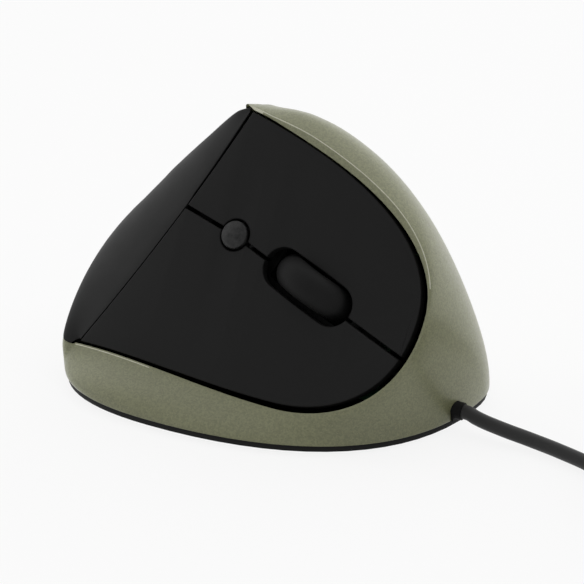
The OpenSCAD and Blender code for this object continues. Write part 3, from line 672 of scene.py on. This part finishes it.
# Wheel and round button in the plane of the face, with the wheel along the line that splits the keys
SPLIT_WAY = (55, 21.4)
WHEEL_U = 27.7
WHEEL_V = -39.5
WHEEL_DEEP = 7.6
WHEEL_AT = Vector((WHEEL_U, WHEEL_V * FACE_RISE, crown(WHEEL_U) - WHEEL_DEEP))
WHEEL_TURN = -math.atan2(SPLIT_WAY[1] * FACE_RISE, SPLIT_WAY[0])
WHEEL_D = 24
WHEEL_W = 8.4
HUB_D = 18
TYRE_R = 4.8
TYRE_ARC_STEPS = 28
TYRE_STEPS = 96
TYRE_SIDE = 0.5
TYRE_SIDE_ROUND = 0.1
DPI_AT = Vector((5, -31.8, 0))
DPI_SHRINK = 0.95
DPI_ROUND = 0.3


def spun(name, profile, steps):
    """A round piece, spun about Z from a profile of (radius, height) points."""
    piece = new_piece(name, [Vector((r, 0, z)) for r, z in profile], [])
    mesh = piece.data
    mesh.edges.add(len(profile) - 1)
    for k, e in enumerate(mesh.edges):
        e.vertices = (k, k + 1)
    edit(piece, "VERT")
    bpy.ops.mesh.select_all(action="SELECT")
    bpy.ops.mesh.spin(steps=steps, angle=2 * math.pi, center=(0, 0, 0), axis=(0, 0, 1))
    bpy.ops.mesh.select_all(action="SELECT")
    bpy.ops.mesh.remove_doubles(threshold=MERGE * MM)
    bpy.ops.mesh.normals_make_consistent(inside=False)
    end_edit()
    return piece


def make_tyre():
    half = WHEEL_W / 2
    centre = WHEEL_D / 2 - TYRE_R
    reach = math.asin(half / TYRE_R)
    arc = [mix(-reach, reach, k / TYRE_ARC_STEPS) for k in range(TYRE_ARC_STEPS + 1)]
    tread = [(centre + TYRE_R * math.cos(a), TYRE_R * math.sin(a)) for a in arc]
    side = tread[0][0]
    flank = [
        (HUB_D / 2, -half),
        (side - TYRE_SIDE, -half),
        (side - TYRE_SIDE_ROUND, -half + TYRE_SIDE_ROUND),
    ]
    profile = flank + tread[1:-1] + [(r, -z) for r, z in reversed(flank)] + [flank[0]]
    tyre = spun("tyre_look", profile, TYRE_STEPS)
    upright = Matrix.Rotation(WHEEL_TURN, 4, "Z") @ Matrix.Rotation(math.pi / 2, 4, "X")
    tyre.data.transform(on_face(WHEEL_AT) @ upright)
    smooth(tyre, SMOOTH_BELOW)
    return stand_in(tyre, "wheel_tyre")


def make_dpi():
    """The button a hair narrower than its hole, so that the gap reads as a dark ring."""
    button = rounded_copy("dpi_button", DPI_ROUND)
    shrink = Matrix.Diagonal((DPI_SHRINK, DPI_SHRINK, 1, 1))
    button.data.transform(on_face(DPI_AT) @ shrink @ on_face(DPI_AT).inverted())
    return button


# Cable: a route close to the part's, with its coil worked out turn by turn
CABLE_D = 3.6
CABLE_FROM = Vector((54.4575, -0.7234, 4.5))
DESK_Z = CABLE_D / 2 + 0.1
COIL_AT = Vector((121, 8, 2.75))
COIL_R = 25
COIL_PITCH = CABLE_D + 1.2
COIL_RISE = CABLE_D + 0.5
COIL_TURNS = 11.25
COIL_LAYERS = 4
CLIMB = 0.5
LAYER_TURNS = (COIL_TURNS - CLIMB * (COIL_LAYERS - 1)) / COIL_LAYERS
TURN_STEPS = 24
COIL_STEPS = round(COIL_TURNS * TURN_STEPS)
PLUG_Z = 4
PLUG_BEND = 16


def coil_point(t):
    """A place on the coil after t turns: each layer spirals in or out, then climbs for half a turn."""
    span = LAYER_TURNS + CLIMB
    layer = min(COIL_LAYERS - 1, int(t / span))
    f = t - layer * span
    drawn_in = min(f, LAYER_TURNS) * COIL_PITCH
    climb = max(0, f - LAYER_TURNS) / CLIMB
    r = COIL_R - drawn_in if layer % 2 == 0 else COIL_R - LAYER_TURNS * COIL_PITCH + drawn_in
    a = 2 * math.pi * t - math.pi / 2
    return COIL_AT + Vector((r * math.cos(a), r * math.sin(a), (layer + climb) * COIL_RISE))


def cable_route():
    loops = [coil_point(COIL_TURNS * k / COIL_STEPS) for k in range(COIL_STEPS + 1)]
    start, end = loops[0] - Vector((CABLE_D, 0, 0)), loops[-1] + Vector((0, CABLE_D, 0))
    plug = Vector((end.x - PLUG_BEND - 4, COIL_AT.y + COIL_R + CABLE_D / 2 + 8.6, PLUG_Z))
    free = [
        CABLE_FROM,
        CABLE_FROM + Vector((1.6, 0, -0.1)),
        CABLE_FROM + Vector((3.6, -0.3, -0.6)),
        CABLE_FROM + Vector((10.4, -0.9, -1.4)),
        CABLE_FROM + Vector((18.4, -0.9, -2.3)),
        Vector((CABLE_FROM.x + 27.4, CABLE_FROM.y - 2.3, DESK_Z)),
        Vector((CABLE_FROM.x + 37, CABLE_FROM.y - 5.2, DESK_Z)),
        Vector((start.x - 16, start.y + 5.4, DESK_Z)),
        Vector((start.x - 8, start.y + 1.2, DESK_Z + 0.3)),
        Vector((start.x - 3.6, start.y, start.z)),
        start,
    ]
    tail = [
        end,
        end + Vector((0, 2.4, 0)),
        end + Vector((0, 5.4, -0.2)),
        end + Vector((-0.1, 9.6, -1.4)),
        Vector((end.x - 0.6, plug.y - PLUG_BEND, 11.4)),
        Vector((end.x - 3.6, plug.y - 7, 8.2)),
        Vector((end.x - 9, plug.y - 1.6, 5.6)),
        Vector((plug.x + 3.6, plug.y, PLUG_Z)),
        plug,
    ]
    return free + loops + tail


def make_cable():
    route = cable_route()
    data = bpy.data.curves.new("cable_look", "CURVE")
    data.dimensions = "3D"
    spline = data.splines.new("BEZIER")
    spline.bezier_points.add(len(route) - 1)
    for point, at in zip(spline.bezier_points, route):
        point.co = at * MM
        point.handle_left_type = point.handle_right_type = "AUTO"
        point.radius = CABLE_D / 2 * MM
    spline.resolution_u = 5
    data.bevel_depth = 1
    data.bevel_resolution = 4
    data.use_fill_caps = True
    cable = bpy.data.objects.new("cable_look", data)
    bpy.context.scene.collection.objects.link(cable)
    return stand_in(cable, "cable", "cable_coil", "cable_tail")


# Finishes: steps that they share, then one function for each kind
GRAIN_SCALE = 4000
PATCH_SCALE = 60
FLAKE_SCALE = 2800
FLAKE_DEPTH = 0.004
FLAKE_ROUGH = (0.36, 0.5)
PAINT_SPECULAR = 0.3
COAT_WEIGHT = 0.7
COAT_ROUGH = 0.3
METAL_DARK = 0.85
CLEAR_SHARE = 0.9


def grey(tone):
    return (tone, tone, tone)


def shader(name):
    material = bpy.data.materials.new(name)
    material.use_nodes = True
    nodes = material.node_tree.nodes
    return material, nodes, material.node_tree.links, nodes["Principled BSDF"]


def add_node(nodes, kind, **values):
    """Adds a node with these settings, or with these values on its sockets."""
    made = nodes.new(kind)
    for key, value in values.items():
        if hasattr(made, key):
            setattr(made, key, value)
        else:
            made.inputs[key.replace("_", " ").title()].default_value = value
    return made


def grain_group():
    """Fine moulded grain: a height for bump, a slow patchy tone and a fine tone, both about one half."""
    group = bpy.data.node_groups.new("moulded grain", "ShaderNodeTree")
    for name, scale in (("Grain Scale", GRAIN_SCALE), ("Patch Scale", PATCH_SCALE)):
        socket = group.interface.new_socket(name, in_out="INPUT", socket_type="NodeSocketFloat")
        socket.default_value = scale
    for name in ("Height", "Patches", "Fine"):
        group.interface.new_socket(name, in_out="OUTPUT", socket_type="NodeSocketFloat")
    nodes, links = group.nodes, group.links
    enter, leave = nodes.new("NodeGroupInput"), nodes.new("NodeGroupOutput")
    place = nodes.new("ShaderNodeTexCoord")
    fine = add_node(nodes, "ShaderNodeTexNoise", detail=2.0, roughness=0.6)
    patch = add_node(nodes, "ShaderNodeTexNoise", detail=4.0, roughness=0.6)
    bumps = add_node(nodes, "ShaderNodeTexVoronoi", feature="SMOOTH_F1")
    for texture, scale in ((fine, "Grain Scale"), (patch, "Patch Scale"), (bumps, "Grain Scale")):
        links.new(place.outputs["Object"], texture.inputs["Vector"])
        links.new(enter.outputs[scale], texture.inputs["Scale"])
    links.new(bumps.outputs["Distance"], leave.inputs["Height"])
    links.new(patch.outputs["Fac"], leave.inputs["Patches"])
    links.new(fine.outputs["Fac"], leave.inputs["Fine"])
    return group


GRAIN = grain_group()


def add_grain(nodes, grain_scale=GRAIN_SCALE, patch_scale=PATCH_SCALE):
    grain = nodes.new("ShaderNodeGroup")
    grain.node_tree = GRAIN
    grain.inputs["Grain Scale"].default_value = grain_scale
    grain.inputs["Patch Scale"].default_value = patch_scale
    return grain


def spread(nodes, links, value, low, high):
    """Maps a tone from 0.3 to 0.7 onto low to high."""
    made = add_node(nodes, "ShaderNodeMapRange", from_min=0.3, from_max=0.7, to_min=low, to_max=high)
    links.new(value, made.inputs["Value"])
    return made.outputs["Result"]


def tint(nodes, links, value, dark, light):
    """A colour from dark at 0 to light at 1."""
    made = add_node(nodes, "ShaderNodeMix", data_type="RGBA")
    made.inputs[6].default_value = (*dark, 1)
    made.inputs[7].default_value = (*light, 1)
    links.new(value, made.inputs["Factor"])
    return made.outputs[2]


def add_bump(nodes, links, bsdf, height, depth):
    """Bumps of this depth in millimetres."""
    bump = add_node(nodes, "ShaderNodeBump", strength=1.0, distance=depth * MM)
    links.new(height, bump.inputs["Height"])
    links.new(bump.outputs["Normal"], bsdf.inputs["Normal"])


def moulded(name, dark, light, rough, grain_scale, depth, specular=0.5, patch_scale=PATCH_SCALE):
    """A moulded or coated surface: patchy tone, uneven gloss, and fine grain of a depth in millimetres."""
    material, nodes, links, bsdf = shader(name)
    grain = add_grain(nodes, grain_scale, patch_scale)
    patches = spread(nodes, links, grain.outputs["Patches"], 0, 1)
    links.new(tint(nodes, links, patches, dark, light), bsdf.inputs["Base Color"])
    links.new(spread(nodes, links, grain.outputs["Patches"], *rough), bsdf.inputs["Roughness"])
    add_bump(nodes, links, bsdf, grain.outputs["Height"], depth)
    bsdf.inputs["Specular IOR Level"].default_value = specular
    return material


def metal(name, color, rough, grain_scale):
    """Bare metal with a slightly uneven tone and gloss."""
    material, nodes, links, bsdf = shader(name)
    grain = add_grain(nodes, grain_scale)
    darker = [c * METAL_DARK for c in color]
    links.new(tint(nodes, links, grain.outputs["Patches"], darker, color), bsdf.inputs["Base Color"])
    links.new(spread(nodes, links, grain.outputs["Fine"], *rough), bsdf.inputs["Roughness"])
    bsdf.inputs["Metallic"].default_value = 1
    return material


def paint(name, dark, light, metallic):
    """Metallic paint: flakes that vary in tone and lie a little askew, under a clear coat."""
    material, nodes, links, bsdf = shader(name)
    place = nodes.new("ShaderNodeTexCoord")
    flakes = add_node(nodes, "ShaderNodeTexVoronoi", feature="F1", scale=FLAKE_SCALE)
    links.new(place.outputs["Object"], flakes.inputs["Vector"])
    tone = nodes.new("ShaderNodeSeparateColor")
    links.new(flakes.outputs["Color"], tone.inputs["Color"])
    links.new(tint(nodes, links, tone.outputs[0], dark, light), bsdf.inputs["Base Color"])
    links.new(spread(nodes, links, tone.outputs[1], *FLAKE_ROUGH), bsdf.inputs["Roughness"])
    add_bump(nodes, links, bsdf, tone.outputs[2], FLAKE_DEPTH)
    bsdf.inputs["Metallic"].default_value = metallic
    bsdf.inputs["Specular IOR Level"].default_value = PAINT_SPECULAR
    bsdf.inputs["Coat Weight"].default_value = COAT_WEIGHT
    bsdf.inputs["Coat Roughness"].default_value = COAT_ROUGH
    return material


def clear(name, color, rough):
    """Clear moulded plastic with a slightly uneven gloss."""
    material, nodes, links, bsdf = shader(name)
    grain = add_grain(nodes)
    links.new(spread(nodes, links, grain.outputs["Patches"], *rough), bsdf.inputs["Roughness"])
    bsdf.inputs["Base Color"].default_value = (*color, 1)
    bsdf.inputs["Transmission Weight"].default_value = CLEAR_SHARE
    return material


# Painted: darkest and lightest flake, share of metal
PAINTED = {
    "shell_paint": ((0.192, 0.197, 0.104), (0.266, 0.274, 0.148), 0.12),
    # The second, lighter paint stands for a highlight along the rim and for light on the shaded apex: painted
    # highlight and painted light
    "shell_edge": ((0.5, 0.5, 0.38), (0.58, 0.58, 0.46), 0.5),
}
# Moulded: dark and light tone, roughness range, grain scale and depth, then specular and patch scale if set
MOULDED = {
    "soft_black": (grey(0.006), grey(0.008), (0.5, 0.6), 5000, 0.004, 0.175),
    # Key side walls: darker, rougher and duller than soft black, as painted shade in the gaps
    "gap_black": (grey(0.005), grey(0.007), (0.7, 0.8), 5000, 0.004, 0.08),
    "collar_black": (grey(0.004), grey(0.006), (0.5, 0.62), 2500, 0.006, 0.1),
    "base_black": (grey(0.006), grey(0.009), (0.5, 0.62), 2500, 0.01, 0.15),
    "foot_grey": (grey(0.03), grey(0.05), (0.3, 0.45), 1500, 0.004),
    # Frame seen through the wheel slot: near black, partly its dark plastic and partly painted shade inside
    # the slot
    "frame_grey": (grey(0.004), grey(0.007), (0.55, 0.7), 2000, 0.006, 0.12),
    "board_green": ((0.01, 0.08, 0.03), (0.02, 0.13, 0.05), (0.3, 0.45), 1500, 0.004),
    "case_black": (grey(0.015), grey(0.022), (0.4, 0.55), 2500, 0.006),
    "pin_white": ((0.66, 0.66, 0.62), (0.72, 0.72, 0.69), (0.3, 0.42), 2500, 0.003),
    "wheel_rubber": (grey(0.006), grey(0.009), (0.45, 0.58), 4000, 0.004, 0.14),
    "dpi_black": (grey(0.006), grey(0.045), (0.3, 0.55), 2500, 0.02, 0.24, 600),
    "thumb_black": (grey(0.01), grey(0.014), (0.3, 0.42), 3000, 0.004, 0.45),
    "cable_black": (grey(0.017), grey(0.023), (0.4, 0.52), 2500, 0.006, 0.32),
    "tie_black": (grey(0.008), grey(0.012), (0.35, 0.5), 2500, 0.006),
    "plug_black": (grey(0.012), grey(0.018), (0.42, 0.55), 2500, 0.01),
}
# Metals: colour, roughness range, grain scale
METALS = {
    "steel": ((0.55, 0.55, 0.56), (0.25, 0.4), 1500),
    "plug_metal": ((0.62, 0.62, 0.61), (0.15, 0.25), 1200),
    "contact_gold": ((0.75, 0.55, 0.22), (0.15, 0.25), 1200),
}
# Clear: colour, roughness range
CLEARS = {
    "lens_clear": ((0.85, 0.9, 0.92), (0.05, 0.12)),
    "led_red": ((0.7, 0.08, 0.05), (0.1, 0.2)),
}
FINISHES = {
    name: kind(name, *values)
    for kind, table in ((paint, PAINTED), (moulded, MOULDED), (metal, METALS), (clear, CLEARS))
    for name, values in table.items()
}
OWN_FINISH = {"cable_grommet_look": "collar_black"}
# Second finishes: a lighter paint as painted highlight on the shell's rim line and apex, and a darker one as
# painted shade on the keys' side walls
SECOND_FINISH = {"shell_look": "shell_edge", "left_key_look": "gap_black", "right_key_look": "gap_black"}


def finish(piece):
    """The piece's own finish or its slot's, and a second one for the faces that were numbered for it."""
    slot = piece.get("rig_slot") or SLOT_OF[piece["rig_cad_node"]]
    second = SECOND_FINISH.get(piece.name)
    numbers = [polygon.material_index for polygon in piece.data.polygons] if second else []
    piece.data.materials.clear()
    piece.data.materials.append(FINISHES[OWN_FINISH.get(piece.name, slot)])
    if second:
        piece.data.materials.append(FINISHES[second])
        for polygon, number in zip(piece.data.polygons, numbers):
            polygon.material_index = number


# Stage, in metres: a pale floor that keeps the shadow, a pale surround and one soft lamp
FLOOR_SIZE = 6
FLOOR_TONE = 0.9
FLOOR_ROUGH = 0.9
SHADOW_KEPT = 0.12
SEEN_WHITE = 0.995
SKY_WAY = (-0.38, 0.66, -0.64)
SKY_FROM = -0.75
SKY_TO = 0.2
SKY_HIGH = 2.1
LAMP_AT = Vector((0.25, 0.35, 0.8))
LAMP_TARGET = Vector((0, 0, 0.03))
LAMP_SIZE = 0.8
LAMP_POWER = 1


def see_white(nodes, links):
    """One where the camera, or a mirror or glass, looks straight at the surface."""
    path = nodes.new("ShaderNodeLightPath")
    total = path.outputs["Is Camera Ray"]
    for name in ("Is Glossy Ray", "Is Transmission Ray"):
        add = add_node(nodes, "ShaderNodeMath", operation="MAXIMUM")
        links.new(total, add.inputs[0])
        links.new(path.outputs[name], add.inputs[1])
        total = add.outputs[0]
    return total


def add_floor():
    bpy.ops.object.select_all(action="DESELECT")
    bpy.ops.mesh.primitive_plane_add(size=FLOOR_SIZE)
    floor = bpy.context.object
    floor.name = "floor"
    material, nodes, links, bsdf = shader("floor")
    bsdf.inputs["Base Color"].default_value = (*grey(FLOOR_TONE), 1)
    bsdf.inputs["Roughness"].default_value = FLOOR_ROUGH
    bsdf.inputs["Specular IOR Level"].default_value = 0
    glow = nodes.new("ShaderNodeEmission")
    glow.inputs["Color"].default_value = (*grey(SEEN_WHITE), 1)
    share = add_node(nodes, "ShaderNodeMath", operation="MULTIPLY")
    share.inputs[1].default_value = 1 - SHADOW_KEPT
    links.new(see_white(nodes, links), share.inputs[0])
    both = nodes.new("ShaderNodeMixShader")
    links.new(share.outputs[0], both.inputs["Fac"])
    links.new(bsdf.outputs[0], both.inputs[1])
    links.new(glow.outputs[0], both.inputs[2])
    links.new(both.outputs[0], nodes["Material Output"].inputs["Surface"])
    floor.data.materials.append(material)


def add_world():
    """A surround that lights the object along one way, and that looks white itself."""
    world = bpy.data.worlds.new("surround")
    bpy.context.scene.world = world
    world.use_nodes = True
    nodes, links = world.node_tree.nodes, world.node_tree.links
    ground = nodes["Background"]
    place = nodes.new("ShaderNodeTexCoord")
    towards = add_node(nodes, "ShaderNodeVectorMath", operation="DOT_PRODUCT")
    towards.inputs[1].default_value = SKY_WAY
    links.new(place.outputs["Generated"], towards.inputs[0])
    sky = add_node(nodes, "ShaderNodeMapRange", from_min=SKY_FROM, from_max=SKY_TO, to_max=SKY_HIGH)
    links.new(towards.outputs["Value"], sky.inputs["Value"])
    shown = add_node(nodes, "ShaderNodeMix", data_type="FLOAT")
    shown.inputs["B"].default_value = SEEN_WHITE
    links.new(see_white(nodes, links), shown.inputs["Factor"])
    links.new(sky.outputs["Result"], shown.inputs["A"])
    ground.inputs["Color"].default_value = (1, 1, 1, 1)
    links.new(shown.outputs["Result"], ground.inputs["Strength"])


def add_lamp():
    """A square soft lamp, turned to the object."""
    bpy.ops.object.light_add(type="AREA", location=LAMP_AT)
    lamp = bpy.context.object
    lamp.name = "top"
    lamp.data.size = LAMP_SIZE
    lamp.data.energy = LAMP_POWER
    lamp.rotation_euler = (LAMP_TARGET - LAMP_AT).to_track_quat("-Z", "Y").to_euler()


# The whole object: the cable, the covers, the moving pieces, and CAD nodes with rounded edges
EDGE_ROUNDS = {
    "forward_button": 0.5,
    "back_button": 0.5,
    "base_plate": 0.25,
    "glide_feet": 0.15,
    "cable_grommet": 0.3,
    "cable_tie": 0.25,
    "plug_body": 0.5,
    "plug_shell": 0.12,
}
add_camera()
cable = make_cable()
make_shell()
make_palm()
make_key("left_key")
make_key("right_key")
make_tyre()
make_dpi()
for name, width in EDGE_ROUNDS.items():
    rounded_copy(name, width)
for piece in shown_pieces():
    finish(piece)

add_floor()
add_world()
add_lamp()
bpy.context.scene.view_settings.view_transform = "Standard"

bpy.context.view_layer.update()
